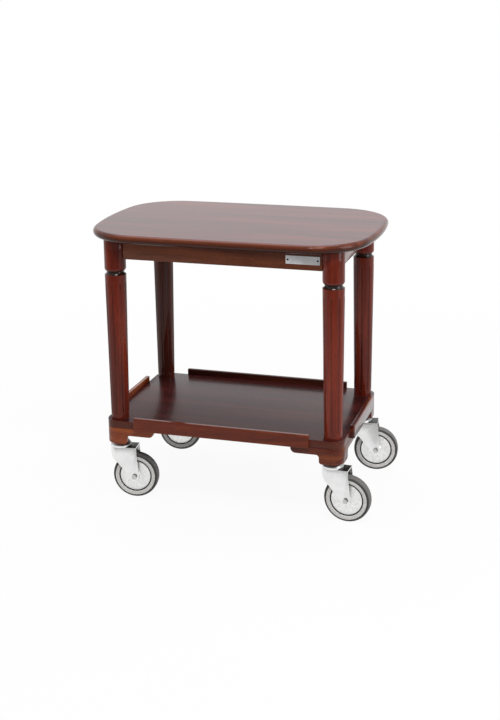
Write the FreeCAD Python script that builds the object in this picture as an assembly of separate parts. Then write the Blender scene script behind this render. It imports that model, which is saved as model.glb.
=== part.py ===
import FreeCAD, Part
import math
import os

# A two-tier serving table on four swivel castors. Millimetres, +Z up, the floor at Z = 0.
# The table is drawn about its own centre and each piece is moved along X when it is saved, so
# that the origin lies on the floor under the middle of the whole footprint, castors included.

V = FreeCAD.Vector
ORIGIN = V(0, 0, 0)
UP = V(0, 0, 1)
TINY = 0.01                 # for telling flat edges from upright ones
CUT_PAST = 1.0              # how far a cutter runs past the surface that it opens

# ---------------------------------------------------------------- driving sizes
# table top: four bowed sides joined by wide round corners, all tangent
TOP_LENGTH = 772.0
TOP_WIDTH = 507.0
TOP_THICKNESS = 22.0
TOP_LONG_BOW = 10200.0      # radius of the nearly straight long sides
TOP_END_BOW = 869.0         # radius of the bowed ends
TOP_CORNER = 151.0
TOP_EDGE_FLAT = 1.0         # flat left between the edge's two roundings

# turned legs
TOP_OVERHANG_END = 88.5     # leg axis to the top's end
TOP_OVERHANG_SIDE = 73.5    # leg axis to the top's long side
LEG_LENGTH = 500.0          # from the shelf to the top
LEG_HEAD_R = 28.8           # plain round block at the head
LEG_FOOT_R = 24.2           # shaft where it stands on the shelf
RING_R = 28.8               # crisp edge at the shaft's upper end
RING_LEDGE = 1.6            # flat on top of that edge
RING_DROP = 98.0            # from the leg's upper end down to the ring
NECK_R = 22.8
NECK_DROP = 88.5            # from the leg's upper end down to the narrowest place
HEAD_DROP = 79.5            # from the leg's upper end down to the plain block
COVE_BULGE = 1.5            # how far the cove dips inside its chord
SHOULDER_BULGE = 1.7        # how far the block's rounding stands outside its chord
FLUTE_COUNT = 8
LAND_FLATS = 3              # flats that make up the round land between two flutes
FLUTE_WIDTH = 6.0
FLUTE_FLOOR = 2.6           # flat bottom of a flute
FLUTE_DEPTH = 1.6
FLUTE_RUN_OUT = 3.5         # length of the slope at a flute's end
FLUTE_FROM_RING = 22.0
FLUTE_FROM_FOOT = 15.0

# aprons, their tenons and the glue blocks behind them
APRON_THICKNESS = 20.0
APRON_HEIGHT = 55.0
TENON_THICKNESS = 10.0
TENON_LENGTH = 18.0         # how far it enters the leg
TENON_SHOULDER = 7.0        # apron edge to tenon, above and below
BLOCK_HEIGHT = 40.0
BLOCK_WIDTH = 30.0          # across the diagonal
BLOCK_LEG_GAP = 1.0

# shelf, gallery strips and corner brackets
SHELF_OVERHANG_END = 32.5   # leg axis to the shelf's end
SHELF_OVERHANG_SIDE = 35.0  # leg axis to the shelf's long side
SHELF_THICKNESS = 20.0
SHELF_CORNER = 33.0
STRIP_THICKNESS = 12.0
STRIP_HEIGHT = 35.0
STRIP_END_GAP = 55.0        # leg axis to the strip's end
STRIP_ROUND = 3.0
BRACKET_WALL = 12.0
BRACKET_REACH = 107.0       # leg axis to the end of a wing
BRACKET_HEIGHT = 45.0       # at the post
WING_HEIGHT = 20.0
WING_ROUND = 14.0           # quarter round at the wing's end
POST_REACH = 30.5           # leg axis to the post's inner edge
POST_ROUND = 8.0            # wing to post, and the post's lower corner
SEAT_HEIGHT = 39.0          # shelf's underside to the castor's seat
SEAT_REACH = 17.0           # leg axis to the seat block's inner faces

# blank plate on the front apron
PLATE_LENGTH = 90.0
PLATE_HEIGHT = 22.0
PLATE_THICKNESS = 1.2
PLATE_FROM_LEG = 78.0       # middle of the plate to the right leg's axis
PLATE_FROM_TOP = 29.0       # middle of the plate to the top's underside

# castors
WHEEL_R = 62.5
TYRE_WIDTH = 28.0
CENTRE_R = 42.5             # wheel centre, inside the tyre
CENTRE_WIDTH = 25.0
HUB_R = 12.0
AXLE_R = 4.0
NUT_ACROSS_FLATS = 13.0
NUT_HEIGHT = 5.5
TRAIL = 40.0                # swivel axis to axle
FORK_WIDTH = 44.0
FORK_WALL = 2.5
FORK_NOSE = 29.0            # swivel axis to the nose
FORK_TAIL = 45.0            # swivel axis to the crown's open end
FORK_TIP_R = 12.5           # round tip about the axle
FORK_NOSE_DROP = 15.0       # crown's top to where the nose's edge turns back
FORK_CHEEK = 21.0           # swivel axis to the middle of that curve
FORK_CHEEK_DROP = 30.5
FORK_WAIST = 6.0            # swivel axis to the lower end of that curve
FORK_WAIST_DROP = 45.0
CROWN_THICKNESS = 3.0
CROWN_CLEARANCE = 17.0      # wheel to crown
HEAD_SEAT_R = 15.0
HEAD_CONE_HEIGHT = 16.5
RACE_R = 28.2
RACE_HEIGHT = 5.5
KINGPIN_R = 9.0
KINGPIN_NUT_ACROSS_FLATS = 24.0
KINGPIN_NUT_HEIGHT = 5.0
STUD_R = 6.0
STUD_LENGTH = 35.0          # into the bracket's seat block

# which way each castor trails, in degrees from +X towards +Y
TRAIL_FRONT_LEFT = 7.0
TRAIL_FRONT_RIGHT = -3.0
TRAIL_REAR_RIGHT = 8.0
TRAIL_REAR_LEFT = 8.0

# clearances
GLUE_GAP = 0.05             # fixed round fits and mortises
COPE_GAP = 0.15             # apron ends around the legs
RUNNING_GAP = 0.06          # shaft in bore, on the radius
PLAY = 0.3                  # kingpin's nut to crown
HUB_PLAY = 0.5              # hub to fork

# ---------------------------------------------------------------- levels and places
crown_top = 2 * WHEEL_R + CROWN_CLEARANCE + CROWN_THICKNESS
seat_z = crown_top + RACE_HEIGHT + HEAD_CONE_HEIGHT
shelf_z = seat_z + SEAT_HEIGHT
leg_z = shelf_z + SHELF_THICKNESS
top_z = leg_z + LEG_LENGTH
leg_x = TOP_LENGTH / 2 - TOP_OVERHANG_END
leg_y = TOP_WIDTH / 2 - TOP_OVERHANG_SIDE
shelf_x = leg_x + SHELF_OVERHANG_END
shelf_y = leg_y + SHELF_OVERHANG_SIDE

CORNERS = {
    "front_left": (-1, -1, TRAIL_FRONT_LEFT),
    "front_right": (1, -1, TRAIL_FRONT_RIGHT),
    "rear_right": (1, 1, TRAIL_REAR_RIGHT),
    "rear_left": (-1, 1, TRAIL_REAR_LEFT),
}


def wheel_reach(angle):
    """How far a wheel reaches along +X from its swivel axis."""
    a = math.radians(angle)
    return (TRAIL + WHEEL_R) * math.cos(a) + TYRE_WIDTH / 2 * abs(math.sin(a))


right_reach = max(leg_x + wheel_reach(TRAIL_FRONT_RIGHT), leg_x + wheel_reach(TRAIL_REAR_RIGHT))
table_centre_x = (TOP_LENGTH / 2 - max(right_reach, TOP_LENGTH / 2)) / 2


# ---------------------------------------------------------------- helpers
def save(shape, node):
    """Move a piece from the table's frame to the part's, and write it."""
    os.makedirs("parts", exist_ok=True)
    moved = shape.removeSplitter()
    moved.translate(V(table_centre_x, 0, 0))
    moved.exportStep("parts/" + node + ".step")


def slab(x0, x1, y0, y1, z0, z1):
    return Part.makeBox(x1 - x0, y1 - y0, z1 - z0, V(x0, y0, z0))


def prism(edges, direction):
    """Extrude the flat face inside a closed run of edges."""
    return Part.Face(Part.Wire(edges)).extrude(direction)


def polygon_prism(points, direction):
    return Part.Face(Part.makePolygon(points + [points[0]])).extrude(direction)


def turned(edges):
    """Revolve a closed profile, drawn in the XZ plane, about the Z axis."""
    return Part.Face(Part.Wire(edges)).revolve(ORIGIN, UP, 360)


def lines(points):
    return [Part.makeLine(a, b) for a, b in zip(points, points[1:])]


def arc(start, middle, end):
    return Part.Arc(start, middle, end).toShape()


def bulged(start, end, bulge, steps=3):
    """Points of an arc in the XZ plane that stands out from its chord, to the chord's right.

    The arc is turned as a few short cones, which mesh far lighter than a torus does.
    """
    chord = end - start
    side = V(chord.z, 0, -chord.x).normalize()
    curve = arc(start, (start + end) * 0.5 + side * bulge, end)
    return curve.discretize(Number=steps + 1)


def hexagon_prism(centre, across_flats, height):
    """Upright hexagon, its lower face at the centre given."""
    r = across_flats / math.sqrt(3)
    points = []
    for i in range(6):
        a = math.radians(60 * i)
        points.append(centre + V(r * math.cos(a), r * math.sin(a), 0))
    return polygon_prism(points, UP * height)


# ---------------------------------------------------------------- table top
def top_outline(z):
    """Long bows, end bows and corners, each tangent to the next."""
    half_length = TOP_LENGTH / 2
    half_width = TOP_WIDTH / 2
    long_centre = V(0, half_width - TOP_LONG_BOW, 0)
    end_centre = V(half_length - TOP_END_BOW, 0, 0)
    # the corner's centre is inside both bows by the corner's radius
    to_long = TOP_LONG_BOW - TOP_CORNER
    to_end = TOP_END_BOW - TOP_CORNER
    between = end_centre - long_centre
    gap = between.Length
    along = (to_long ** 2 - to_end ** 2 + gap ** 2) / (2 * gap)
    across = math.sqrt(to_long ** 2 - along ** 2)
    unit = between.normalize()
    corner = long_centre + unit * along + V(unit.y, -unit.x, 0) * across
    on_long = long_centre + (corner - long_centre).normalize() * TOP_LONG_BOW
    on_end = end_centre + (corner - end_centre).normalize() * TOP_END_BOW
    bisector = ((on_long - corner) + (on_end - corner)).normalize()
    middle = corner + bisector * TOP_CORNER

    def place(point, sx, sy):
        return V(sx * point.x, sy * point.y, z)

    side = V(0, half_width, 0)
    end = V(half_length, 0, 0)
    edges = []
    for sx, sy in ((1, 1), (1, -1), (-1, -1), (-1, 1)):
        edges.append(arc(place(on_long, sx, sy), place(middle, sx, sy), place(on_end, sx, sy)))
    for sx in (1, -1):
        edges.append(arc(place(on_end, sx, 1), place(end, sx, 1), place(on_end, sx, -1)))
    for sy in (1, -1):
        edges.append(arc(place(on_long, 1, sy), place(side, 1, sy), place(on_long, -1, sy)))
    return Part.Wire(Part.sortEdges(edges)[0])


def table_top():
    """Board with a rounded edge, worked as two bevels above and two below."""
    board = Part.Face(top_outline(top_z)).extrude(UP * TOP_THICKNESS)
    r = (TOP_THICKNESS - TOP_EDGE_FLAT) / 2
    # bevels that stand tangent to a round of radius r
    coarse = r * (1 - math.tan(math.pi / 8))
    fine = r * (math.tan(math.pi / 8) - math.tan(math.pi / 16))
    for size in (coarse, fine):
        rims = []
        for edge in board.Edges:
            box = edge.BoundBox
            if box.ZMax < top_z + TINY or box.ZMin > top_z + TOP_THICKNESS - TINY:
                rims.append(edge)
        board = board.makeChamfer(size, rims)
    return board


# ---------------------------------------------------------------- legs
def land_section(r, z):
    """Shaft's section: the land between two flutes is a few flats, and a flute's place is one."""
    pitch = 2 * math.pi / FLUTE_COUNT
    half_flute = math.asin(FLUTE_WIDTH / 2 / r)
    step = (pitch - 2 * half_flute) / LAND_FLATS
    points = []
    for i in range(FLUTE_COUNT):
        for k in range(LAND_FLATS + 1):
            a = i * pitch + half_flute + k * step
            points.append(V(r * math.cos(a), r * math.sin(a), z))
    return Part.makePolygon(points + [points[0]])


def flute_cutter():
    """Trapezoid bar with sloping ends, laid along the shaft's taper at angle zero."""
    length = LEG_LENGTH - RING_DROP
    flare = (FLUTE_WIDTH - FLUTE_FLOOR) / 2 / FLUTE_DEPTH * CUT_PAST
    mouth = FLUTE_WIDTH / 2 + flare
    floor = FLUTE_FLOOR / 2
    bar = polygon_prism([V(CUT_PAST, -mouth, 0), V(CUT_PAST, mouth, 0),
                         V(-FLUTE_DEPTH, floor, 0), V(-FLUTE_DEPTH, -floor, 0)], UP * length)
    low = FLUTE_FROM_FOOT
    high = length - FLUTE_FROM_RING
    rise = FLUTE_RUN_OUT / FLUTE_DEPTH * CUT_PAST
    stops = polygon_prism([V(CUT_PAST, -mouth, low - rise), V(CUT_PAST, -mouth, high + rise),
                           V(-FLUTE_DEPTH, -mouth, high - FLUTE_RUN_OUT),
                           V(-FLUTE_DEPTH, -mouth, low + FLUTE_RUN_OUT)], V(0, 2 * mouth, 0))
    cutter = bar.common(stops)
    taper = math.atan((RING_R - LEG_FOOT_R) / length)
    cutter.rotate(ORIGIN, V(0, 1, 0), math.degrees(taper))
    cutter.translate(V(math.sqrt(LEG_FOOT_R ** 2 - (FLUTE_WIDTH / 2) ** 2), 0, 0))
    return cutter


def leg_blank():
    """Tapered shaft with stopped flutes, a turned neck and a plain block at the head."""
    ring_z = LEG_LENGTH - RING_DROP
    shaft = Part.makeLoft([land_section(LEG_FOOT_R, 0), land_section(RING_R, ring_z)], True, True)
    cutters = []
    for i in range(FLUTE_COUNT):
        cutter = flute_cutter()
        cutter.rotate(ORIGIN, UP, i * 360 / FLUTE_COUNT)
        cutters.append(cutter)
    shaft = shaft.cut(Part.makeCompound(cutters))
    ledge = V(RING_R - RING_LEDGE, 0, ring_z)
    neck = V(NECK_R, 0, LEG_LENGTH - NECK_DROP)
    block = V(LEG_HEAD_R, 0, LEG_LENGTH - HEAD_DROP)
    points = [V(0, 0, ring_z)] + bulged(ledge, neck, -COVE_BULGE)
    points += bulged(neck, block, SHOULDER_BULGE)[1:]
    points += [V(LEG_HEAD_R, 0, LEG_LENGTH), V(0, 0, LEG_LENGTH), V(0, 0, ring_z)]
    return shaft.fuse(turned(lines(points)))


def tenon(direction, gap):
    """Tenon or, with a gap, its mortise, seen from the leg's axis along +X or -X."""
    inner = LEG_HEAD_R - TENON_LENGTH - gap
    outer = LEG_HEAD_R + TENON_SHOULDER
    half = TENON_THICKNESS / 2 + gap
    z0 = top_z - APRON_HEIGHT + TENON_SHOULDER - gap
    z1 = top_z - TENON_SHOULDER + gap
    x0 = min(direction * inner, direction * outer)
    return slab(x0, x0 + outer - inner, -half, half, z0, z1)


def leg(blank, sx, sy):
    piece = blank.copy()
    piece.translate(V(0, 0, leg_z))
    mortise_x = tenon(-sx, GLUE_GAP)
    mortise_y = tenon(-sy, GLUE_GAP)
    mortise_y.rotate(ORIGIN, UP, 90)
    piece = piece.cut([mortise_x, mortise_y])
    piece.translate(V(sx * leg_x, sy * leg_y, 0))
    return piece


# ---------------------------------------------------------------- aprons and glue blocks
def apron(half):
    """Apron along X between two legs at -half and half, coped and tenoned into both."""
    thick = APRON_THICKNESS / 2
    board = slab(-half, half, -thick, thick, top_z - APRON_HEIGHT, top_z)
    for side in (-1, 1):
        base = V(side * half, 0, top_z - APRON_HEIGHT)
        cope = Part.makeCylinder(LEG_HEAD_R + COPE_GAP, APRON_HEIGHT, base, UP)
        board = board.cut(cope)
    for side in (-1, 1):
        tongue = tenon(-side, 0)
        tongue.translate(V(side * half, 0, 0))
        board = board.fuse(tongue)
    return board


def glue_block(sx, sy):
    inner = math.sqrt(2) * (LEG_HEAD_R + BLOCK_LEG_GAP)
    outer = inner + math.sqrt(2) * BLOCK_WIDTH
    face = APRON_THICKNESS / 2
    plan = [(inner - face, face), (outer - face, face), (face, outer - face), (face, inner - face)]
    z0 = top_z - BLOCK_HEIGHT
    points = [V(sx * (leg_x - u), sy * (leg_y - v), z0) for u, v in plan]
    return polygon_prism(points, UP * BLOCK_HEIGHT)


def plate():
    x = leg_x - PLATE_FROM_LEG
    y = -leg_y - APRON_THICKNESS / 2
    z = top_z - PLATE_FROM_TOP
    return slab(x - PLATE_LENGTH / 2, x + PLATE_LENGTH / 2, y - PLATE_THICKNESS, y,
                z - PLATE_HEIGHT / 2, z + PLATE_HEIGHT / 2)


# ---------------------------------------------------------------- shelf
def shelf_board():
    board = slab(-shelf_x, shelf_x, -shelf_y, shelf_y, shelf_z, leg_z)
    uprights = [e for e in board.Edges if e.BoundBox.ZLength > SHELF_THICKNESS / 2]
    return board.makeFillet(SHELF_CORNER, uprights)


def gallery_strip(leg_place, board_edge):
    """Strip along X, on the outside of the board's edge at -Y, eased where it shows."""
    half = leg_place - STRIP_END_GAP
    outside = -board_edge - STRIP_THICKNESS
    strip = slab(-half, half, outside, -board_edge, shelf_z, shelf_z + STRIP_HEIGHT)
    eased = []
    for edge in strip.Edges:
        box = edge.BoundBox
        outer = box.YMax < outside + TINY
        lower = box.ZMax < shelf_z + TINY
        if outer and not lower:
            eased.append(edge)
    return strip.makeFillet(STRIP_ROUND, eased)


def wing_cutter(depth):
    """What is cut away under a wing that runs along +X, with the post's rounded corners."""
    bottom = shelf_z - BRACKET_HEIGHT
    under = shelf_z - WING_HEIGHT
    r = POST_ROUND
    k = r * math.sqrt(0.5)
    w = WING_ROUND
    j = w * math.sqrt(0.5)
    low = bottom - CUT_PAST
    beyond = BRACKET_REACH + CUT_PAST
    post_low = V(POST_REACH - r, 0, bottom)
    post_side = V(POST_REACH, 0, bottom + r)
    post_top = V(POST_REACH, 0, under - r)
    wing_start = V(POST_REACH + r, 0, under)
    wing_end = V(BRACKET_REACH - w, 0, under)
    wing_tip = V(BRACKET_REACH, 0, under + w)
    edges = lines([V(POST_REACH - r, 0, low), post_low])
    edges.append(arc(post_low, V(POST_REACH - r + k, 0, bottom + r - k), post_side))
    edges += lines([post_side, post_top])
    edges.append(arc(post_top, V(POST_REACH + r - k, 0, under - r + k), wing_start))
    edges += lines([wing_start, wing_end])
    edges.append(arc(wing_end, V(BRACKET_REACH - w + j, 0, under + w - j), wing_tip))
    edges += lines([wing_tip, V(beyond, 0, under + w), V(beyond, 0, low),
                    V(POST_REACH - r, 0, low)])
    return prism(edges, V(0, depth, 0))


def corner_bracket():
    """Bracket about a leg's axis with its wings along +X and +Y."""
    out_x = -SHELF_OVERHANG_END
    out_y = -SHELF_OVERHANG_SIDE
    in_x = out_x + BRACKET_WALL
    in_y = out_y + BRACKET_WALL
    bottom = shelf_z - BRACKET_HEIGHT
    c = SHELF_CORNER
    k = c * (1 - math.sqrt(0.5))
    corner_start = V(out_x + c, out_y, bottom)
    corner_end = V(out_x, out_y + c, bottom)
    edges = [arc(corner_start, V(out_x + k, out_y + k, bottom), corner_end)]
    edges += lines([corner_end, V(out_x, BRACKET_REACH, bottom), V(in_x, BRACKET_REACH, bottom),
                    V(in_x, in_y, bottom), V(BRACKET_REACH, in_y, bottom),
                    V(BRACKET_REACH, out_y, bottom), corner_start])
    walls = prism(edges, UP * BRACKET_HEIGHT)
    depth = BRACKET_WALL + 2 * CUT_PAST
    under_x = wing_cutter(depth)
    under_x.translate(V(0, out_y - CUT_PAST, 0))
    # the same cutter, swung over so that it runs along +Y
    under_y = wing_cutter(depth)
    under_y.translate(V(0, -depth, 0))
    under_y.rotate(ORIGIN, UP, 90)
    under_y.translate(V(out_x - CUT_PAST, 0, 0))
    seat = slab(in_x, SEAT_REACH, in_y, SEAT_REACH, seat_z, shelf_z)
    bracket = walls.cut([under_x, under_y]).fuse(seat)
    return bracket.cut(Part.makeCylinder(STUD_R + GLUE_GAP, SEAT_HEIGHT, V(0, 0, seat_z), UP))


def at_corner(piece, sx, sy):
    """Mirror a piece drawn for the front left corner to its own corner."""
    placed = piece.copy()
    if sx > 0:
        placed = placed.mirror(ORIGIN, V(1, 0, 0))
    if sy > 0:
        placed = placed.mirror(ORIGIN, V(0, 1, 0))
    placed.translate(V(sx * leg_x, sy * leg_y, 0))
    return placed


# ---------------------------------------------------------------- castors, about the swivel axis
def castor_head():
    """Stud, cone, race and kingpin with its nut, all fixed to the table."""
    nut_top = crown_top - CROWN_THICKNESS - PLAY
    stud_top = seat_z + STUD_LENGTH
    profile = [
        (0, stud_top), (STUD_R, stud_top), (STUD_R, seat_z), (HEAD_SEAT_R, seat_z),
        (RACE_R, crown_top + RACE_HEIGHT), (RACE_R, crown_top), (KINGPIN_R, crown_top),
        (KINGPIN_R, nut_top), (0, nut_top), (0, stud_top),
    ]
    head = turned(lines([V(r, 0, z) for r, z in profile]))
    nut_base = V(0, 0, nut_top - KINGPIN_NUT_HEIGHT)
    return head.fuse(hexagon_prism(nut_base, KINGPIN_NUT_ACROSS_FLATS, KINGPIN_NUT_HEIGHT))


def fork_plan(half_width, z, height):
    """D-shaped plan: round nose about its own centre, straight flanks, open tail."""
    nose_centre = FORK_WIDTH / 2 - FORK_NOSE
    tail = TRAIL + FORK_TIP_R + CUT_PAST
    edges = [arc(V(nose_centre, half_width, z), V(nose_centre - half_width, 0, z),
                 V(nose_centre, -half_width, z))]
    edges += lines([V(nose_centre, -half_width, z), V(tail, -half_width, z),
                    V(tail, half_width, z), V(nose_centre, half_width, z)])
    return prism(edges, UP * height)


def fork_side():
    """Outline of a flank seen from the side, cut through the whole width."""
    half = FORK_WIDTH / 2 + CUT_PAST
    axle = V(TRAIL, -half, WHEEL_R)
    nose_top = V(-FORK_NOSE, -half, crown_top)
    nose_low = V(-FORK_NOSE, -half, crown_top - FORK_NOSE_DROP)
    cheek = V(-FORK_CHEEK, -half, crown_top - FORK_CHEEK_DROP)
    waist = V(-FORK_WAIST, -half, crown_top - FORK_WAIST_DROP)
    # the lower edge runs from the waist to where it is tangent to the round tip
    to_axle = axle - waist
    bearing = math.atan2(to_axle.z, to_axle.x) - math.asin(FORK_TIP_R / to_axle.Length)
    run = math.sqrt(to_axle.Length ** 2 - FORK_TIP_R ** 2)
    tangent = waist + V(math.cos(bearing), 0, math.sin(bearing)) * run
    tip_end = V(TRAIL + FORK_TIP_R, -half, WHEEL_R)
    bisector = ((tangent - axle) + (tip_end - axle)).normalize()
    tail_top = V(FORK_TAIL, -half, crown_top)
    edges = lines([nose_top, nose_low])
    edges.append(arc(nose_low, cheek, waist))
    edges += lines([waist, tangent])
    edges.append(arc(tangent, axle + bisector * FORK_TIP_R, tip_end))
    edges += lines([tip_end, tail_top, nose_top])
    return prism(edges, V(0, 2 * half, 0))


def fork():
    """Pressed fork with its axle bolt: crown, wrapped nose, two flanks that taper to the axle."""
    low = WHEEL_R - FORK_TIP_R - CUT_PAST
    crown_under = crown_top - CROWN_THICKNESS
    outer = fork_plan(FORK_WIDTH / 2, low, crown_top - low)
    inner = fork_plan(FORK_WIDTH / 2 - FORK_WALL, low, crown_under - low)
    pressed = outer.cut(inner).common(fork_side())
    hole = Part.makeCylinder(KINGPIN_R + RUNNING_GAP, CROWN_THICKNESS, V(0, 0, crown_under), UP)
    return pressed.cut(hole).fuse(axle_bolt())


def axle_bolt():
    """Bolt and nut, clamped on the outside of the fork's flanks."""
    half = FORK_WIDTH / 2
    bolt = Part.makeCylinder(AXLE_R, FORK_WIDTH, V(0, 0, -half), UP)
    for base in (-half - NUT_HEIGHT, half):
        bolt = bolt.fuse(hexagon_prism(V(0, 0, base), NUT_ACROSS_FLATS, NUT_HEIGHT))
    bolt.rotate(ORIGIN, V(1, 0, 0), 90)
    bolt.translate(V(TRAIL, 0, WHEEL_R))
    return bolt


def wheel_turned(profile):
    """Revolve a closed (radius, offset) profile about the axle."""
    shape = turned(lines([V(r, 0, y) for r, y in profile + [profile[0]]]))
    shape.rotate(ORIGIN, V(1, 0, 0), 90)
    shape.translate(V(TRAIL, 0, WHEEL_R))
    return shape


def wheel_centre():
    """Web with a hub that stands out on both sides and runs on the axle bolt."""
    bore = AXLE_R + RUNNING_GAP
    hub = FORK_WIDTH / 2 - FORK_WALL - HUB_PLAY
    web = CENTRE_WIDTH / 2
    return wheel_turned([(bore, -hub), (HUB_R, -hub), (HUB_R, -web), (CENTRE_R, -web),
                         (CENTRE_R, web), (HUB_R, web), (HUB_R, hub), (bore, hub)])


def tyre():
    inner = CENTRE_R + GLUE_GAP
    half = TYRE_WIDTH / 2
    return wheel_turned([(inner, -half), (WHEEL_R, -half), (WHEEL_R, half), (inner, half)])


# ---------------------------------------------------------------- the pieces
save(table_top(), "table_top")
save(shelf_board(), "shelf_board")
save(plate(), "blank_plate")

blank = leg_blank()
bracket = corner_bracket()
heads = []
for corner, (sx, sy, angle) in CORNERS.items():
    save(leg(blank, sx, sy), "leg_" + corner)
    save(glue_block(sx, sy), "glue_block_" + corner)
    save(at_corner(bracket, sx, sy), "bracket_" + corner)
    head = castor_head()
    head.translate(V(sx * leg_x, sy * leg_y, 0))
    heads.append(head)
    moving = {"fork": fork(), "wheel_centre": wheel_centre(), "tyre": tyre()}
    for name, piece in moving.items():
        piece.rotate(ORIGIN, UP, angle)
        piece.translate(V(sx * leg_x, sy * leg_y, 0))
        save(piece, name + "_" + corner)
save(Part.makeCompound(heads), "castor_heads")

for side, sy in (("front", -1), ("rear", 1)):
    board = apron(leg_x)
    strip = gallery_strip(leg_x, shelf_y)
    if sy > 0:
        strip = strip.mirror(ORIGIN, V(0, 1, 0))
    board.translate(V(0, sy * leg_y, 0))
    save(board, "apron_" + side)
    save(strip, "gallery_strip_" + side)

for side, sx in (("left", -1), ("right", 1)):
    board = apron(leg_y)
    strip = gallery_strip(leg_y, shelf_x)
    board.rotate(ORIGIN, UP, 90)
    board.translate(V(sx * leg_x, 0, 0))
    # a quarter turn takes the strip from -Y to -X or to +X
    strip.rotate(ORIGIN, UP, sx * 90)
    save(board, "apron_" + side)
    save(strip, "gallery_strip_" + side)
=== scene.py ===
import math

import bmesh
import bpy
from mathutils import Matrix, Vector


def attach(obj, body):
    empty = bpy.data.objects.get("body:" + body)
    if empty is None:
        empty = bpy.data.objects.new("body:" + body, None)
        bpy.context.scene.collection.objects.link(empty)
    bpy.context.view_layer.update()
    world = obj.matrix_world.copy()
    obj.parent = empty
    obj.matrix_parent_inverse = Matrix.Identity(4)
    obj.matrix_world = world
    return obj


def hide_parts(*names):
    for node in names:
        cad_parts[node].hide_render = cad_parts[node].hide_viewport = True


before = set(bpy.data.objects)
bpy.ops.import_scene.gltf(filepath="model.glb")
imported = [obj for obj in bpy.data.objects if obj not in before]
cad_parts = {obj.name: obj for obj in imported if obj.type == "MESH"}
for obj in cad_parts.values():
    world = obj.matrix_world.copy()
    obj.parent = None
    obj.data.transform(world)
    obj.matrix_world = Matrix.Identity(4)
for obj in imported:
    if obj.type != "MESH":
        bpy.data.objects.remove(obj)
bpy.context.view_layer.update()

# A two-tier serving table on four castors. Sizes of the object are in millimetres, and MM turns
# them into the frame's metres. Lamps, floor and camera are in metres.
MM = 0.001
SHIFT_X = -7.475            # middle of the table in the frame
LEG_X = 297.5               # leg and swivel axes
LEG_Y = 180.0

TOP_Z = 726.0               # underside of the top
TOP_HALF_LENGTH = 386.0
TOP_HALF_WIDTH = 253.5
TOP_THICKNESS = 22.0
TOP_LONG_BOW = 10200.0      # radius of the long sides
TOP_END_BOW = 869.0         # radius of the ends
TOP_CORNER = 151.0
EDGE_ROUND = 10.5
EDGE_FLAT = 1.0             # upright stretch in the middle of the edge

SHELF_TOP_Z = 226.0
SHELF_THICKNESS = 20.0
SHELF_HALF_WIDTH = 215.0
SHELF_CORNER = 33.0

FOOT_R = 24.2               # leg where it stands on the shelf
RING_R = 28.8               # crisp edge under the cove, and the block above it
RING_Z = 402.0              # heights on the leg are from the shelf up
NECK_R = 22.8
NECK_Z = 411.5
BLOCK_Z = 420.5
LEG_LENGTH = 500.0
FLUTE_COUNT = 8
FLUTE_PITCH = 2 * math.pi / FLUTE_COUNT
FLUTE_HALF_WIDTH = 3.0
FLUTE_DEPTH = 1.45
FLUTE_LOW = 15.0
FLUTE_HIGH = 380.0

WHEEL_R = 62.5
TRAIL = 40.0                # swivel axis to axle
FORK_HALF_WIDTH = 22.0
CROWN_Z = 145.0             # upper face of the fork's crown
RACE_TOP_Z = 150.5
PLATE_Z = 697.0             # middle of the plate
PLATE_FACE_Y = -191.1
PIN_X = {"left": 180.0, "right": 259.0}

# side along X, side along Y, and the castor's angle in degrees
CORNERS = {
    "front_left": (-1, -1, 7.0),
    "front_right": (1, -1, -3.0),
    "rear_right": (1, 1, 8.0),
    "rear_left": (-1, 1, 8.0),
}
AMBIENT = 0.5               # strength of the surroundings for light that isn't mirrored


# ---------------------------------------------------------------- shader helpers
class Nodes:
    """A material's node tree, with short calls for making and joining nodes."""

    def __init__(self, name):
        self.material = bpy.data.materials.new(name)
        self.material.use_nodes = True
        self.tree = self.material.node_tree
        self.tree.nodes.clear()

    def add(self, kind, settings=None, inputs=None):
        node = self.tree.nodes.new(kind)
        for key, value in (settings or {}).items():
            setattr(node, key, value)
        for key, value in (inputs or {}).items():
            socket = node.inputs[key]
            if isinstance(value, bpy.types.NodeSocket):
                self.tree.links.new(value, socket)
            else:
                socket.default_value = value
        return node

    def ramp(self, factor, stops):
        node = self.add("ShaderNodeValToRGB", None, {"Fac": factor})
        ramp = node.color_ramp
        while len(ramp.elements) < len(stops):
            ramp.elements.new(0.5)
        for element, (place, colour) in zip(ramp.elements, stops):
            element.position = place
            element.color = colour
        return node.outputs["Color"]

    def span(self, value, low, high):
        """Map a 0 to 1 value on to low to high."""
        node = self.add("ShaderNodeMapRange", None, {"Value": value, "To Min": low, "To Max": high})
        return node.outputs["Result"]

    def mix(self, kind, factor, a, b):
        node = self.add("ShaderNodeMix", {"data_type": "RGBA", "blend_type": kind})
        for key, value in (("Factor", factor), ("A", a), ("B", b)):
            wanted = [s for s in node.inputs if s.name == key and s.enabled][0]
            if isinstance(value, bpy.types.NodeSocket):
                self.tree.links.new(value, wanted)
            else:
                wanted.default_value = value
        return [s for s in node.outputs if s.enabled][0]

    def finish(self, shader):
        self.add("ShaderNodeOutputMaterial", None, {"Surface": shader.outputs[0]})
        return self.material


def srgb(r, g, b):
    """Colour as picked on the screen, 0 to 255, turned into the linear one of a socket."""
    out = []
    for c in (r, g, b):
        c = c / 255
        out.append(c / 12.92 if c <= 0.04045 else ((c + 0.055) / 1.055) ** 2.4)
    return (out[0], out[1], out[2], 1.0)


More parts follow.
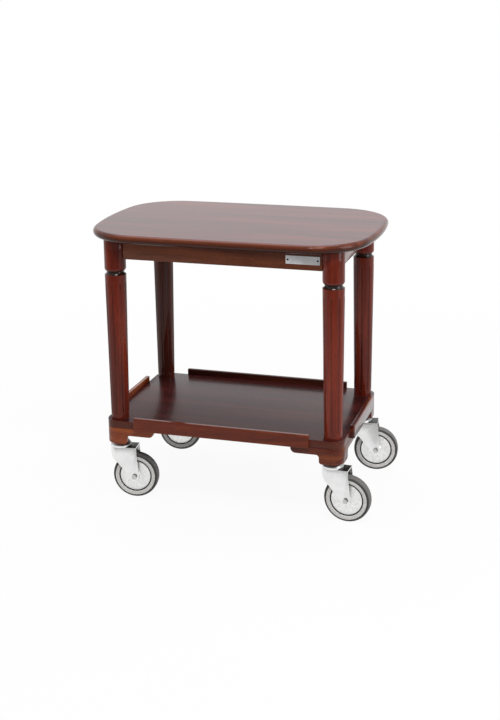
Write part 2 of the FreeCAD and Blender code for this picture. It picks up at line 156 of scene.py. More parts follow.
def wood(name, axis, dark, middle, light, roughness, ior, coat, tint=(1, 1, 1, 1), low=None):
    """Stained and lacquered wood, its grain along an axis of the frame.

    tint colours what the lacquer mirrors. low gives two heights in mm, between which painted shade
    fades: the colour goes from dark below to its full colour above.
    """
    n = Nodes(name)
    place = n.add("ShaderNodeTexCoord").outputs["Object"]
    along = {"X": (1.0, 14.0, 14.0), "Y": (14.0, 1.0, 14.0), "Z": (14.0, 14.0, 1.0)}[axis]
    scaled = n.add("ShaderNodeMapping", None, {"Vector": place, "Scale": along}).outputs["Vector"]
    # broad figure, growth lines drawn out along the piece, and short dark pores
    cloud = n.add("ShaderNodeTexNoise", None,
                  {"Vector": scaled, "Scale": 1.6, "Detail": 4.0, "Roughness": 0.55,
                   "Distortion": 0.6}).outputs["Fac"]
    lines = n.add("ShaderNodeTexNoise", None,
                  {"Vector": scaled, "Scale": 11.0, "Detail": 5.0, "Roughness": 0.65,
                   "Distortion": 1.2}).outputs["Fac"]
    pores = n.add("ShaderNodeTexNoise", None,
                  {"Vector": scaled, "Scale": 62.0, "Detail": 2.0, "Roughness": 0.5}).outputs["Fac"]
    base = n.ramp(cloud, [(0.32, dark), (0.52, middle), (0.72, light)])
    streak = n.ramp(lines, [(0.3, (0.6, 0.52, 0.5, 1)), (0.6, (1, 1, 1, 1))])
    base = n.mix("MULTIPLY", 0.6, base, streak)
    pits = n.ramp(pores, [(0.36, (0.35, 0.3, 0.3, 1)), (0.45, (1, 1, 1, 1))])
    base = n.mix("MULTIPLY", 0.35, base, pits)
    # painted shade: the colour darkens towards the bottom, below the heights in low
    if low:
        height = n.add("ShaderNodeSeparateXYZ", None, {"Vector": place}).outputs["Z"]
        shade_rise = n.add("ShaderNodeMapRange", None,
                     {"Value": height, "From Min": low[0] * MM, "From Max": low[1] * MM})
        darkening = n.ramp(shade_rise.outputs["Result"], [(0.0, (0.34, 0.27, 0.25, 1)), (1.0, (1, 1, 1, 1))])
        base = n.mix("MULTIPLY", 1.0, base, darkening)
    rough = n.span(lines, roughness - 0.05, roughness + 0.07)
    bump = n.add("ShaderNodeBump", None,
                 {"Height": pores, "Strength": 0.06, "Distance": 0.0004}).outputs["Normal"]
    wave = n.add("ShaderNodeTexNoise", None, {"Vector": place, "Scale": 22.0, "Detail": 1.0})
    skin = n.add("ShaderNodeBump", None,
                 {"Height": wave.outputs["Fac"], "Strength": 0.05, "Distance": 0.002}).outputs["Normal"]
    return n.finish(n.add("ShaderNodeBsdfPrincipled", None, {
        "Base Color": base, "Roughness": rough, "Normal": bump, "IOR": ior,
        "Specular Tint": tint, "Coat Weight": coat, "Coat Roughness": 0.06,
        "Coat Normal": skin}))


def bare_wood(name):
    """Unfinished pale wood of the blocks behind the aprons."""
    n = Nodes(name)
    place = n.add("ShaderNodeTexCoord").outputs["Object"]
    scaled = n.add("ShaderNodeMapping", None,
                   {"Vector": place, "Scale": (20.0, 20.0, 2.0)}).outputs["Vector"]
    grain = n.add("ShaderNodeTexNoise", None,
                  {"Vector": scaled, "Scale": 9.0, "Detail": 5.0, "Distortion": 1.0}).outputs["Fac"]
    base = n.ramp(grain, [(0.3, srgb(150, 104, 66)), (0.6, srgb(186, 142, 98)),
                          (0.8, srgb(205, 166, 122))])
    bump = n.add("ShaderNodeBump", None,
                 {"Height": grain, "Strength": 0.2, "Distance": 0.0005}).outputs["Normal"]
    return n.finish(n.add("ShaderNodeBsdfPrincipled", None, {
        "Base Color": base, "Roughness": n.span(grain, 0.55, 0.75), "Normal": bump}))


def metal(name, light, dark, low, high, brush, relief=0.08, spots=45.0):
    """Metal with faint stains and a brushed or tumbled finish."""
    n = Nodes(name)
    place = n.add("ShaderNodeTexCoord").outputs["Object"]
    scaled = n.add("ShaderNodeMapping", None, {"Vector": place, "Scale": brush}).outputs["Vector"]
    fine = n.add("ShaderNodeTexNoise", None,
                 {"Vector": scaled, "Scale": 90.0, "Detail": 3.0}).outputs["Fac"]
    darkening = n.add("ShaderNodeTexNoise", None,
                  {"Vector": place, "Scale": spots, "Detail": 4.0}).outputs["Fac"]
    base = n.ramp(darkening, [(0.35, dark), (0.65, light)])
    bump = n.add("ShaderNodeBump", None,
                 {"Height": fine, "Strength": relief, "Distance": 0.0003}).outputs["Normal"]
    return n.finish(n.add("ShaderNodeBsdfPrincipled", None, {
        "Base Color": base, "Metallic": 1.0, "Roughness": n.span(fine, low, high),
        "Normal": bump}))


def rubber(name, colour, worn):
    """Moulded grey rubber, a little dusty."""
    n = Nodes(name)
    place = n.add("ShaderNodeTexCoord").outputs["Object"]
    dust = n.add("ShaderNodeTexNoise", None,
                 {"Vector": place, "Scale": 60.0, "Detail": 5.0, "Roughness": 0.6}).outputs["Fac"]
    grit = n.add("ShaderNodeTexNoise", None,
                 {"Vector": place, "Scale": 900.0, "Detail": 2.0}).outputs["Fac"]
    base = n.ramp(dust, [(0.35, colour), (0.7, worn)])
    bump = n.add("ShaderNodeBump", None,
                 {"Height": grit, "Strength": 0.12, "Distance": 0.0003}).outputs["Normal"]
    return n.finish(n.add("ShaderNodeBsdfPrincipled", None, {
        "Base Color": base, "Roughness": n.span(dust, 0.5, 0.68), "Normal": bump}))


LILAC = (0.78, 0.8, 1.0, 1.0)   # cool tint on what the boards mirror
TOP_WOOD = wood("lacquer_top", "X", srgb(70, 27, 28), srgb(92, 36, 36), srgb(116, 50, 42),
                0.2, 1.26, 0.25, LILAC)
# the round's wood is darkened towards its underside with painted shade
EDGE_WOOD = wood("lacquer_edge", "X", srgb(86, 40, 23), srgb(106, 51, 30), srgb(126, 64, 38),
                 0.1, 1.2, 0.25, low=(TOP_Z + 7, TOP_Z + 18))
SHELF_WOOD = wood("lacquer_shelf", "X", srgb(52, 20, 19), srgb(70, 28, 26), srgb(90, 40, 34),
                  0.24, 1.25, 0.1, LILAC)
SHELF_EDGE = wood("lacquer_shelf_edge", "X", srgb(76, 34, 22), srgb(98, 46, 30),
                  srgb(120, 62, 40), 0.2, 1.2, 0.2)


def leg_wood(name, tones, depth=1.0):
    """Wood of one leg; depth below 1 darkens it, for painted shade in its flutes."""
    dark, middle, light = [srgb(*(part * depth for part in tone)) for tone in tones]
    return wood(name, "Z", dark, middle, light, 0.16, 1.2, 0.25)


# each leg's tone is painted light: the front right one, lit, is lightest, and the rear left, in shade,
# darkest
LEG_LIT_TONES = {
    "front_left": ((86, 27, 14), (120, 40, 21), (150, 62, 32)),
    "front_right": ((96, 32, 17), (131, 45, 25), (160, 69, 38)),
    "rear_right": ((82, 25, 13), (114, 36, 19), (144, 56, 29)),
    "rear_left": ((68, 26, 15), (94, 36, 20), (126, 55, 32)),
}
LEG_WOOD = {c: leg_wood("lacquer_leg_" + c, LEG_LIT_TONES[c]) for c in CORNERS}
# painted shade: each leg's flutes get a darker copy of its wood
FLUTE_SHADE_WOOD = {c: leg_wood("lacquer_flute_shade_" + c, LEG_LIT_TONES[c], 0.82) for c in CORNERS}
# painted shade for the leg's cove
COVE_SHADE_WOOD = wood("lacquer_cove_shade", "Z", srgb(30, 15, 10), srgb(46, 23, 14), srgb(68, 34, 20),
                 0.12, 1.2, 0.5)


def plank(name, axis, tones, ior=1.2, coat=0.25, tint=(1, 1, 1, 1)):
    """Wood of an apron, strip or bracket, from its dark, middle and light tones."""
    dark, middle, light = [srgb(*tone) for tone in tones]
    return wood(name, axis, dark, middle, light, 0.2, ior, coat, tint)


APRON_TONES = ((102, 54, 36), (136, 76, 50), (160, 98, 66))
TRIM_TONES = ((74, 26, 13), (116, 46, 22), (176, 92, 42))
APRON_WOOD = {
    "front": plank("lacquer_apron_front", "X", APRON_TONES, coat=0.3),
    "rear": plank("lacquer_apron_rear", "X", APRON_TONES, coat=0.3),
    "left": plank("lacquer_apron_left", "Y", APRON_TONES, coat=0.3),
    "right": plank("lacquer_apron_right", "Y", APRON_TONES, 1.3, 0.3, LILAC),
}
STRIP_WOOD = {
    "front": plank("lacquer_strip_front", "X", TRIM_TONES),
    # painted shade: the rear strip's tones are darker
    "rear": plank("lacquer_strip_rear_shade", "X", ((50, 18, 11), (78, 29, 16), (120, 58, 29))),
    "left": plank("lacquer_strip_left", "Y", TRIM_TONES),
    "right": plank("lacquer_strip_right", "Y", ((62, 22, 14), (96, 38, 24), (146, 76, 44)),
                   1.35, tint=LILAC),
}
# each bracket's tones are painted light: the front left one is the palest, the front right one the
# darkest
BRACKET_LIT_TONES = {
    "front_left": ((108, 46, 24), (158, 78, 42), (206, 126, 70)),
    "front_right": ((62, 22, 12), (98, 39, 20), (148, 77, 36)),
    "rear_right": TRIM_TONES,
    "rear_left": TRIM_TONES,
}
BRACKET_WOOD = {
    c: [plank("lacquer_bracket_" + c + "_" + axis.lower(), axis, BRACKET_LIT_TONES[c]) for axis in "XY"]
    for c in CORNERS
}
BLOCK_WOOD = bare_wood("bare_wood")
PLATE_METAL = metal("plate_brushed", srgb(224, 223, 225), srgb(206, 205, 207), 0.26, 0.4,
                    (0.4, 30.0, 30.0))
STEEL = metal("castor_zinc", srgb(240, 240, 239), srgb(230, 231, 231), 0.26, 0.32,
              (3.0, 3.0, 3.0), 0.02)
# painted shade: the cone under the bracket is darker grey
CONE_SHADE_STEEL = metal("castor_bolt", srgb(176, 176, 174), srgb(148, 148, 147), 0.25, 0.35,
                   (3.0, 3.0, 3.0))
BOLT_FACE = metal("castor_bolt_face", srgb(206, 206, 204), srgb(184, 184, 182), 0.25, 0.35,
                  (3.0, 3.0, 3.0))
# painted shade on the flanks of bolt and nut
BOLT_FLANK_SHADE = metal("castor_bolt_flank_shade", srgb(112, 112, 110), srgb(88, 88, 87), 0.3, 0.4,
                   (3.0, 3.0, 3.0))
# painted shade for the castor's crown and the ring under the race
SHADE_STEEL = metal("castor_shade", srgb(62, 60, 58), srgb(38, 37, 37), 0.3, 0.45,
                   (3.0, 3.0, 3.0))
PIN_STEEL = metal("pin_blued", srgb(34, 33, 32), srgb(20, 20, 20), 0.4, 0.5, (3.0, 3.0, 3.0))
CENTRE = metal("wheel_centre_cast", srgb(246, 246, 244), srgb(226, 227, 226), 0.34, 0.48,
               (2.0, 2.0, 2.0), 0.2, 160.0)
TYRE_SIDE = rubber("tyre_grey", srgb(222, 222, 219), srgb(234, 234, 231))
TYRE_TREAD = rubber("tyre_tread", srgb(100, 99, 97), srgb(116, 115, 112))
# painted shade for the tyre's shoulders and groove, and the centre's bead
TYRE_SHOULDER_SHADE = rubber("tyre_shoulder_shade", srgb(46, 45, 44), srgb(58, 57, 56))
TYRE_GROOVE_SHADE = rubber("tyre_groove_shade", srgb(26, 26, 25), srgb(38, 37, 36))


# ---------------------------------------------------------------- mesh helpers
def new_object(name, verts, faces, material, smooth=True):
    mesh = bpy.data.meshes.new(name)
    mesh.from_pydata([tuple(v) for v in verts], [], faces)
    mesh.validate()
    mesh.update()
    return place_object(name, mesh, material, smooth)


def place_object(name, mesh, material, smooth=True):
    mesh.materials.clear()
    mesh.materials.append(material)
    for polygon in mesh.polygons:
        polygon.material_index = 0
        polygon.use_smooth = smooth
    piece = bpy.data.objects.new(name, mesh)
    bpy.context.scene.collection.objects.link(piece)
    return piece


def baked(piece):
    """Apply the piece's modifiers to its mesh."""
    evaluated = piece.evaluated_get(bpy.context.evaluated_depsgraph_get())
    mesh = bpy.data.meshes.new_from_object(evaluated)
    piece.modifiers.clear()
    old = piece.data
    piece.data = mesh
    bpy.data.meshes.remove(old)


def softened(piece, width, segments):
    """Round the sharp edges, and shade large flats flat."""
    bevel = piece.modifiers.new("edges", "BEVEL")
    bevel.width = width * MM
    bevel.segments = segments
    bevel.limit_method = "ANGLE"
    bevel.angle_limit = math.radians(28)
    bevel.use_clamp_overlap = True
    bevel.harden_normals = True
    baked(piece)


def dressed(node, body, material, width, segments=3):
    """The node's own shape with its facets merged and its edges eased."""
    mesh = bpy.data.objects[node].data.copy()
    bm = bmesh.new()
    bm.from_mesh(mesh)
    bmesh.ops.remove_doubles(bm, verts=bm.verts, dist=2e-6)
    bmesh.ops.dissolve_limit(bm, angle_limit=math.radians(0.6), verts=bm.verts, edges=bm.edges)
    bm.to_mesh(mesh)
    bm.free()
    piece = place_object(node + "_dressed", mesh, material)
    softened(piece, width, segments)
    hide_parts(node)
    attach(piece, body)
    return piece


def grid_faces(rows, columns):
    """Quads over closed rows of points, each row joined to the next."""
    faces = []
    for i in range(rows - 1):
        for j in range(columns):
            k = (j + 1) % columns
            a = i * columns
            b = a + columns
            faces.append((a + j, a + k, b + k, b + j))
    return faces


def zones(piece, materials, which):
    """Give each face the material that which(face centre in mm) names."""
    piece.data.materials.clear()
    for material in materials:
        piece.data.materials.append(material)
    for polygon in piece.data.polygons:
        polygon.material_index = which(polygon.center / MM)


def lathe(name, profile, material, steps=96):
    """Turn a (radius, height) profile about Z: a ring where it closes, else a capped solid."""
    verts = []
    for r, z in profile:
        for j in range(steps):
            a = 2 * math.pi * j / steps
            verts.append(Vector((r * math.cos(a), r * math.sin(a), z)) * MM)
    faces = grid_faces(len(profile), steps)
    if profile[0] != profile[-1]:
        faces.append(tuple(range(steps)))
        faces.append(tuple(range((len(profile) - 1) * steps, len(profile) * steps)))
    piece = new_object(name, verts, faces, material)
    bm = bmesh.new()
    bm.from_mesh(piece.data)
    bmesh.ops.remove_doubles(bm, verts=bm.verts, dist=1e-7)
    bmesh.ops.recalc_face_normals(bm, faces=bm.faces)
    bm.to_mesh(piece.data)
    bm.free()
    return piece


def rounded(profile, radius, steps=4):
    """Round the inner corners of an open (r, z) polyline, as far as their runs allow."""
    points = [Vector(p) for p in profile]
    out = [points[0]]
    for before, corner, after in zip(points, points[1:], points[2:]):
        to_before = before - corner
        to_after = after - corner
        cut = min(radius, to_before.length * 0.45, to_after.length * 0.45)
        a = corner + to_before.normalized() * cut
        b = corner + to_after.normalized() * cut
        for k in range(steps + 1):
            t = k / steps
            out.append(a * (1 - t) ** 2 + corner * 2 * t * (1 - t) + b * t ** 2)
    out.append(points[-1])
    return [(p.x, p.y) for p in out]


# ---------------------------------------------------------------- table top
def top_outline():
    """Points and outward normals round the top: bows and corners, each tangent to the next."""
    long_centre = Vector((0.0, TOP_HALF_WIDTH - TOP_LONG_BOW))
    end_centre = Vector((TOP_HALF_LENGTH - TOP_END_BOW, 0.0))
    between = end_centre - long_centre
    gap = between.length
    # the corner's centre is where circles about the two bows' centres meet
    to_long = TOP_LONG_BOW - TOP_CORNER
    to_end = TOP_END_BOW - TOP_CORNER
    along = (to_long ** 2 - to_end ** 2 + gap ** 2) / (2 * gap)
    across = math.sqrt(to_long ** 2 - along ** 2)
    unit = between.normalized()
    corner = long_centre + unit * along + Vector((unit.y, -unit.x)) * across
    long_turn = math.atan2(*(corner - long_centre))
    end_turn = math.atan2(*(corner - end_centre))
    quarter = []
    # turn is measured from +Y towards +X
    for centre, r, start, stop, steps in (
            (long_centre, TOP_LONG_BOW, 0.0, long_turn, 12),
            (corner, TOP_CORNER, long_turn, end_turn, 24),
            (end_centre, TOP_END_BOW, end_turn, math.pi / 2, 12)):
        for k in range(steps):
            turn = start + (stop - start) * k / steps
            normal = Vector((math.sin(turn), math.cos(turn)))
            quarter.append((centre + normal * r, normal))
    quarter.append((Vector((TOP_HALF_LENGTH, 0.0)), Vector((1.0, 0.0))))

    def flipped(points, sx, sy):
        return [(Vector((p.x * sx, p.y * sy)), Vector((n.x * sx, n.y * sy))) for p, n in points]

    loop = quarter[:-1]
    loop += flipped(quarter, 1, -1)[:0:-1]
    loop += flipped(quarter, -1, -1)[:-1]
    loop += flipped(quarter, -1, 1)[:0:-1]
    return loop


def table_top():
    """Board with a round edge, which has a short upright stretch at its middle."""
    loop = top_outline()
    # a ring just inside each face keeps the round's shading off the flats
    face_inset = EDGE_ROUND + 0.6
    steps = 12
    sections = [(face_inset, 0.0)]
    for k in range(steps + 1):
        a = -math.pi / 2 + math.pi * k / steps
        lift = 0.0 if a <= 0 else EDGE_FLAT
        sections.append((EDGE_ROUND - EDGE_ROUND * math.cos(a),
                         EDGE_ROUND + EDGE_ROUND * math.sin(a) + lift))
    sections.append((face_inset, TOP_THICKNESS))
    verts = []
    for inset, z in sections:
        for p, n in loop:
            q = p - n * inset
            verts.append(Vector((q.x + SHIFT_X, q.y, TOP_Z + z)) * MM)
    count = len(loop)
    rows = len(sections)
    faces = [tuple(reversed(f)) for f in grid_faces(rows, count)]
    faces.append(tuple(range(count)))
    faces.append(tuple(reversed(range((rows - 1) * count, rows * count))))
    piece = new_object("top_board", verts, faces, TOP_WOOD)
    # the round takes more light than the sanded face, and painted shade darkens it below
    edge_low, edge_high = TOP_Z + 0.3, TOP_Z + TOP_THICKNESS - 1.0
    zones(piece, (TOP_WOOD, EDGE_WOOD), lambda c: 1 if edge_low < c.z < edge_high else 0)
    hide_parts("table_top")
    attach(piece, "table_frame")


# ---------------------------------------------------------------- legs
def shaft_radius(z):
    """The shaft widens evenly from its foot to the ring."""
    return FOOT_R + (RING_R - FOOT_R) * z / RING_Z


def leg_profile():
    """(radius, height) from the shelf up: shaft, crisp ring, cove, rounding and block."""
    heights = [0.0, 0.6, 6.0, 12.0]
    heights += [FLUTE_LOW + 0.7 * k for k in range(9)]
    heights += [FLUTE_LOW + 12 + (FLUTE_HIGH - FLUTE_LOW - 24) * k / 40 for k in range(41)]
    heights += [FLUTE_HIGH - 0.7 * k for k in range(8, -1, -1)]
    heights += [386.0, 394.0, 399.0, 401.0]
    rows = [(shaft_radius(z), z) for z in heights]
    ledge_r = 27.2
    rows += [(28.79, 401.5), (28.6, 401.85), (28.2, RING_Z), (ledge_r, RING_Z)]
    for k in range(1, 13):
        # the cove narrows from the ring's ledge to the neck
        t = k / 12
        a = t * math.pi / 2
        rows.append((ledge_r - (ledge_r - NECK_R) * math.sin(a) ** 0.8,
                     RING_Z + (NECK_Z - RING_Z) * t))
    for k in range(1, 15):
        a = k / 14 * math.pi / 2
        rows.append((NECK_R + (RING_R - NECK_R) * math.sin(a),
                     NECK_Z + (BLOCK_Z - NECK_Z) * (1 - math.cos(a))))
    rows += [(RING_R, BLOCK_Z + 2), (RING_R, 460.0), (RING_R, LEG_LENGTH - 1.0),
             (RING_R - 0.3, LEG_LENGTH - 0.5), (RING_R - 0.3, LEG_LENGTH)]
    return rows


def flute_depth(angle, r, z):
    """Depth of the nearest stopped flute at a place on the shaft, hollow with round ends."""
    off = (angle + FLUTE_PITCH / 2) % FLUTE_PITCH - FLUTE_PITCH / 2
    across = off * r
    inside = min(z - FLUTE_LOW, FLUTE_HIGH - z)
    if inside <= 0:
        return 0.0
    beyond = max(0.0, FLUTE_HALF_WIDTH - inside)
    reach = math.hypot(across, beyond) / FLUTE_HALF_WIDTH
    if reach >= 1:
        return 0.0
    return FLUTE_DEPTH * math.sqrt(1 - reach ** 2)


def leg_angles():
    """Columns round the leg, close together over each flute."""
    flute = [-0.128, -0.115, -0.1, -0.08, -0.055, -0.028, 0.0, 0.028, 0.055, 0.08, 0.1, 0.115,
             0.128]
    land = [0.17, 0.22, 0.275, 0.33, 0.39, 0.45, 0.51, 0.565, 0.615]
    columns = []
    for i in range(FLUTE_COUNT):
        columns += [i * FLUTE_PITCH + offset for offset in flute + land]
    return columns


def leg(corner):
    sx, sy, _ = CORNERS[corner]
    axis_x, axis_y = sx * LEG_X + SHIFT_X, sy * LEG_Y
    rows = leg_profile()
    angles = leg_angles()
    verts = []
    for r, z in rows:
        for a in angles:
            reach = r - flute_depth(a, r, z)
            verts.append(Vector((axis_x + reach * math.cos(a), axis_y + reach * math.sin(a),
                                 SHELF_TOP_Z + z)) * MM)
    count = len(angles)
    faces = grid_faces(len(rows), count)
    faces.append(tuple(reversed(range(count))))
    faces.append(tuple(range((len(rows) - 1) * count, len(rows) * count)))
    piece = new_object("leg_turned_" + corner, verts, faces, LEG_WOOD[corner])

    def zone(centre):
        """Painted shade: dark in the cove, and darker in the flutes where the face lies below the
        shaft's skin.
        """
        z = centre.z - SHELF_TOP_Z
        if z > RING_Z:
            return 2 if z < NECK_Z + 3.5 else 0
        out = math.hypot(centre.x - axis_x, centre.y - axis_y)
        return 1 if out < shaft_radius(z) - 0.9 and FLUTE_LOW < z < FLUTE_HIGH else 0

    zones(piece, (LEG_WOOD[corner], FLUTE_SHADE_WOOD[corner], COVE_SHADE_WOOD), zone)
    piece.data.set_sharp_from_angle(angle=math.radians(42))
    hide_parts("leg_" + corner)
    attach(piece, "table_frame")


# ---------------------------------------------------------------- castors and brackets
def on_axle(piece, corner):
    """Lay a piece that was turned about Z on its castor's axle."""
    sx, sy, angle = CORNERS[corner]
    swivel = Matrix.Translation(Vector((sx * LEG_X + SHIFT_X, sy * LEG_Y, 0)) * MM)
    swivel = swivel @ Matrix.Rotation(math.radians(angle), 4, "Z")
    axle = Matrix.Translation(Vector((TRAIL, 0, WHEEL_R)) * MM) @ Matrix.Rotation(math.pi / 2, 4, "X")
    piece.data.transform(swivel @ axle)


def tyre(corner):
    """Tyre with pale flat sides, a dark tread, shoulders darkened with painted shade, and a groove by
    the centre that painted shade darkens.
    """
    groove_r, side_r, shoulder_r = 45.3, 55.0, 60.3
    half = [(42.6, 12.2), (43.0, 12.2), (45.0, 12.4), (45.6, 13.9), (46.8, 14.6), (50.0, 14.9),
            (side_r, 14.9), (56.6, 14.9), (57.4, 14.5), (60.2, 12.6), (62.0, 9.6), (WHEEL_R, 6.0),
            (WHEEL_R, 0.0)]
    half = rounded(half, 1.0)
    profile = half + [(r, -y) for r, y in reversed(half)][1:]
    profile.append(profile[0])
    piece = lathe("tyre_moulded_" + corner, profile, TYRE_SIDE)

    def zone(centre):
        r = math.hypot(centre.x, centre.y)
        # painted shade: the groove and the shoulders are dark
        if r < groove_r:
            return 2
        if r < side_r:
            return 0
        return 3 if r < shoulder_r else 1

    zones(piece, (TYRE_SIDE, TYRE_TREAD, TYRE_GROOVE_SHADE, TYRE_SHOULDER_SHADE), zone)
    on_axle(piece, corner)
    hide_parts("tyre_" + corner)
    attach(piece, "wheel_" + corner)


def wheel_centre(corner):
    """Centre with a short hub, a nearly flat web and a bead where the tyre grips it, darkened with
    painted shade.
    """
    bead_r = 41.4
    half = [(4.1, 18.9), (9.8, 18.9), (11.6, 18.2), (12.6, 16.2), (15.5, 13.6), (19.0, 12.3),
            (30.0, 11.6), (39.4, 11.8), (40.6, 12.4), (42.0, 12.4), (42.5, 11.6)]
    half = rounded(half, 1.4)
    profile = half + [(r, -y) for r, y in reversed(half)]
    profile.append(profile[0])
    piece = lathe("wheel_dished_" + corner, profile, CENTRE)
    # painted shade: the bead by the tyre is dark
    zones(piece, (CENTRE, TYRE_GROOVE_SHADE), lambda c: 1 if math.hypot(c.x, c.y) > bead_r else 0)
    on_axle(piece, corner)
    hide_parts("wheel_centre_" + corner)
    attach(piece, "wheel_" + corner)


def bracket(corner):
    """Corner bracket, its grain running along each wing."""
    _, sy, _ = CORNERS[corner]
    piece = dressed("bracket_" + corner, "table_frame", BRACKET_WOOD[corner][0], 1.2)
    corner_start = SHELF_HALF_WIDTH - SHELF_CORNER

    def zone(centre):
        # the wing along Y starts a little inside of where the rounded corner ends
        return 1 if sy * centre.y < corner_start - 12 and abs(centre.x - SHIFT_X) > LEG_X else 0

    zones(piece, BRACKET_WOOD[corner], zone)


def fork(corner):
    """Pressed fork: painted shade darkens the crown's upper face and the flanks of bolt and nut, whose
    faces are duller.
    """
    sx, sy, angle = CORNERS[corner]
    piece = dressed("fork_" + corner, "swivel_" + corner, STEEL, 0.4, 2)
    along = Vector((math.cos(math.radians(angle)), math.sin(math.radians(angle))))
    across = Vector((-along.y, along.x))
    axis = Vector((sx * LEG_X + SHIFT_X, sy * LEG_Y))

    def zone(centre):
        # painted shade on the crown's upper face
        if centre.z > CROWN_Z - 0.1:
            return 1
        from_swivel = centre.xy - axis
        if abs(from_swivel.dot(across)) < FORK_HALF_WIDTH + 0.2:
            return 0
        from_axle = math.hypot(from_swivel.dot(along) - TRAIL, centre.z - WHEEL_R)
        # the faces of bolt and nut are duller steel; painted shade darkens their flanks
        return 2 if from_axle < 2.0 else 3

    zones(piece, (STEEL, SHADE_STEEL, BOLT_FACE, BOLT_FLANK_SHADE), zone)


def plate_pin(side):
    """Small domed pin at an end of the plate."""
    dome = [(2.6, 0.0), (2.6, 0.35), (2.2, 0.8), (1.45, 1.15), (0.5, 1.28), (0.1, 1.3)]
    piece = lathe("plate_pin_" + side, dome, PIN_STEEL, 24)
    turn = Matrix.Rotation(math.pi / 2, 4, "X")
    place = Vector((PIN_X[side] + SHIFT_X, PLATE_FACE_Y, PLATE_Z)) * MM
    piece.data.transform(Matrix.Translation(place) @ turn)
    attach(piece, "table_frame")


# ---------------------------------------------------------------- the object
table_top()
plate_pin("left")
plate_pin("right")
shelf = dressed("shelf_board", "table_frame", SHELF_WOOD, 1.0)
shelf_low, shelf_high = SHELF_TOP_Z - SHELF_THICKNESS + 0.2, SHELF_TOP_Z - 0.2
zones(shelf, (SHELF_WOOD, SHELF_EDGE), lambda c: 1 if shelf_low < c.z < shelf_high else 0)
dressed("blank_plate", "table_frame", PLATE_METAL, 0.35)
heads = dressed("castor_heads", "table_frame", STEEL, 0.5)
# painted shade: the cone above the race is darker, and a dark ring lies under the race
zones(heads, (STEEL, SHADE_STEEL, CONE_SHADE_STEEL),
      lambda c: 1 if c.z < CROWN_Z + 1.2 else 2 if c.z > RACE_TOP_Z + 1.0 else 0)
for side in ("front", "rear", "left", "right"):
    dressed("apron_" + side, "table_frame", APRON_WOOD[side], 0.8)
    dressed("gallery_strip_" + side, "table_frame", STRIP_WOOD[side], 0.8)
for corner in CORNERS:
    leg(corner)
    dressed("glue_block_" + corner, "table_frame", BLOCK_WOOD, 0.5)
    bracket(corner)
    fork(corner)
    wheel_centre(corner)
    tyre(corner)


# ---------------------------------------------------------------- floor, light and camera
def studio_floor():
    """Pale floor: white to the camera apart from the object's shadow."""
    n = Nodes("studio_floor")
    place = n.add("ShaderNodeTexCoord").outputs["Object"]
    far = n.add("ShaderNodeVectorMath", {"operation": "LENGTH"}, {0: place}).outputs["Value"]
    fade = n.add("ShaderNodeMapRange", None,
                 {"Value": far, "From Min": 0.9, "From Max": 2.2}).outputs["Result"]
    tone = n.add("ShaderNodeTexNoise", None, {"Vector": place, "Scale": 3.0}).outputs["Fac"]
    colour = n.ramp(tone, [(0.3, (0.8, 0.8, 0.8, 1)), (0.7, (0.83, 0.83, 0.83, 1))])
    lit = n.add("ShaderNodeBsdfDiffuse", None, {"Color": colour})
    bounce = n.add("ShaderNodeBsdfDiffuse", None, {"Color": (0.5, 0.49, 0.48, 1)})
    glow = n.add("ShaderNodeEmission", None, {"Color": (1, 1, 1, 1), "Strength": 1.0})
    half = n.add("ShaderNodeMixShader", None, {"Fac": 0.94})
    n.tree.links.new(lit.outputs[0], half.inputs[1])
    n.tree.links.new(glow.outputs[0], half.inputs[2])
    ray = n.add("ShaderNodeLightPath").outputs
    # the floor far in front of the object is seen at full strength but mirrored dimmer
    front = n.add("ShaderNodeSeparateXYZ", None, {"Vector": place}).outputs["Y"]
    room = n.add("ShaderNodeMapRange", None,
                 {"Value": front, "From Min": -2.0, "From Max": -1.0, "To Min": 0.3}).outputs["Result"]
    strength = n.add("ShaderNodeMath", {"operation": "MAXIMUM"}, {0: ray["Is Camera Ray"], 1: room})
    white = n.add("ShaderNodeEmission", None,
                  {"Color": (1, 1, 1, 1), "Strength": strength.outputs[0]})
    shown = n.add("ShaderNodeMixShader", None, {"Fac": fade})
    n.tree.links.new(half.outputs[0], shown.inputs[1])
    n.tree.links.new(white.outputs[0], shown.inputs[2])
    seen = n.add("ShaderNodeMath", {"operation": "MAXIMUM"},
                 {0: ray["Is Camera Ray"], 1: ray["Is Glossy Ray"]}).outputs[0]
    both = n.add("ShaderNodeMixShader", None, {"Fac": seen})
    n.tree.links.new(bounce.outputs[0], both.inputs[1])
    n.tree.links.new(shown.outputs[0], both.inputs[2])
    return n.finish(both)


FLOOR_HALF = 9
floor = new_object("floor", [(-FLOOR_HALF, -FLOOR_HALF, 0), (FLOOR_HALF, -FLOOR_HALF, 0),
                             (FLOOR_HALF, FLOOR_HALF, 0), (-FLOOR_HALF, FLOOR_HALF, 0)],
                   [(0, 1, 2, 3)], studio_floor(), smooth=False)


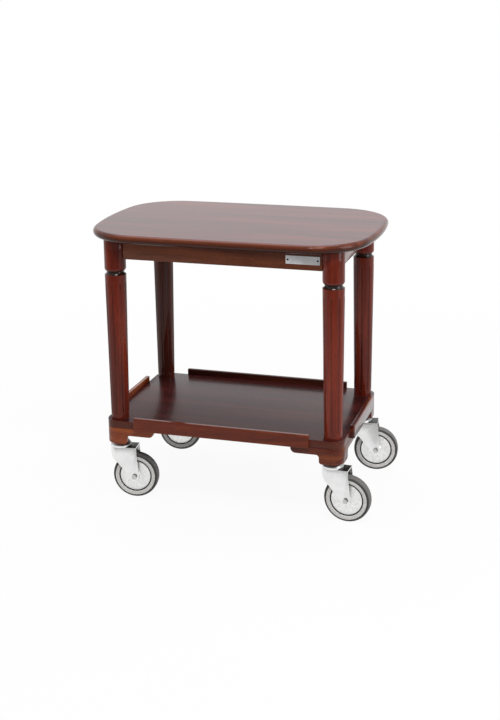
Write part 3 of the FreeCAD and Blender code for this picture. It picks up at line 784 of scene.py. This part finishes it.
def studio_world():
    """White all round to the camera; reflections find a dimmer room on the front side."""
    world = bpy.data.worlds.new("studio")
    bpy.context.scene.world = world
    world.use_nodes = True
    tree = world.node_tree
    tree.nodes.clear()

    def node(kind, inputs, operation=None):
        made = tree.nodes.new(kind)
        if operation:
            made.operation = operation
        for key, value in inputs.items():
            if isinstance(value, bpy.types.NodeSocket):
                tree.links.new(value, made.inputs[key])
            else:
                made.inputs[key].default_value = value
        return made

    ray = node("ShaderNodeLightPath", {}).outputs
    place = node("ShaderNodeTexCoord", {}).outputs["Generated"]
    across = node("ShaderNodeSeparateXYZ", {"Vector": place}).outputs["Y"]
    room = node("ShaderNodeMapRange", {"Value": across, "From Min": -0.9, "From Max": -0.1,
                                       "To Min": 0.3, "To Max": 1.0}).outputs["Result"]
    glossy = node("ShaderNodeMath", {0: room, 1: ray["Is Glossy Ray"]}, "MULTIPLY").outputs[0]
    open_rays = node("ShaderNodeMath", {0: ray["Is Camera Ray"], 1: ray["Is Transmission Ray"]},
                     "MAXIMUM").outputs[0]
    seen = node("ShaderNodeMath", {0: open_rays, 1: glossy}, "MAXIMUM").outputs[0]
    strength = node("ShaderNodeMath", {0: seen, 1: AMBIENT}, "MAXIMUM").outputs[0]
    back = node("ShaderNodeBackground", {"Color": (1, 1, 1, 1), "Strength": strength})
    node("ShaderNodeOutputWorld", {"Surface": back.outputs[0]})


studio_world()


def softbox(name, place, aim, size, power, colour):
    """Rectangular lamp that faces a point of the object."""
    data = bpy.data.lights.new(name, "AREA")
    data.shape = "RECTANGLE"
    data.size, data.size_y = size
    data.energy = power
    data.color = colour
    lamp = bpy.data.objects.new(name, data)
    bpy.context.scene.collection.objects.link(lamp)
    lamp.location = place
    lamp.rotation_mode = "QUATERNION"
    lamp.rotation_quaternion = (Vector(aim) - Vector(place)).to_track_quat("-Z", "Y")


softbox("light_right", (2.8, -0.6, 1.5), (0.0, 0.0, 0.4), (1.2, 2.0), 26, (0.93, 0.91, 1.0))
softbox("light_front", (0.7, -1.6, 2.75), (0.0, 0.0, 0.4), (1.1, 0.4), 32, (1.0, 0.98, 0.95))
softbox("light_above", (-0.4, 0.6, 3.0), (0.0, 0.0, 0.5), (2.4, 1.8), 34, (1.0, 1.0, 1.0))

SENSOR = 36.0               # millimetres
PICTURE_HEIGHT = 720        # pixels
FOCAL_PIXELS = 1336.38
CAMERA_PLACE = Vector((1.04610, -3.37216, 1.48840))
YAW, PITCH, ROLL = 0.29688, 0.22963, -0.01185

scene = bpy.context.scene
scene.view_settings.view_transform = "Standard"
lens = bpy.data.cameras.new("camera")
lens.sensor_width = SENSOR
lens.lens = FOCAL_PIXELS / PICTURE_HEIGHT * SENSOR
lens.shift_y = -0.15        # the photo's uprights are nearly parallel
lens.clip_end = 50.0
camera = bpy.data.objects.new("camera", lens)
scene.collection.objects.link(camera)
forward = Vector((-math.sin(YAW) * math.cos(PITCH), math.cos(YAW) * math.cos(PITCH),
                  -math.sin(PITCH)))
right = Vector((math.cos(YAW), math.sin(YAW), 0.0))
up = right.cross(forward)
right_rolled = right * math.cos(ROLL) + up * math.sin(ROLL)
up_rolled = up * math.cos(ROLL) - right * math.sin(ROLL)
pose = Matrix((right_rolled, up_rolled, -forward)).transposed().to_4x4()
pose.translation = CAMERA_PLACE
camera.matrix_world = pose
scene.camera = camera
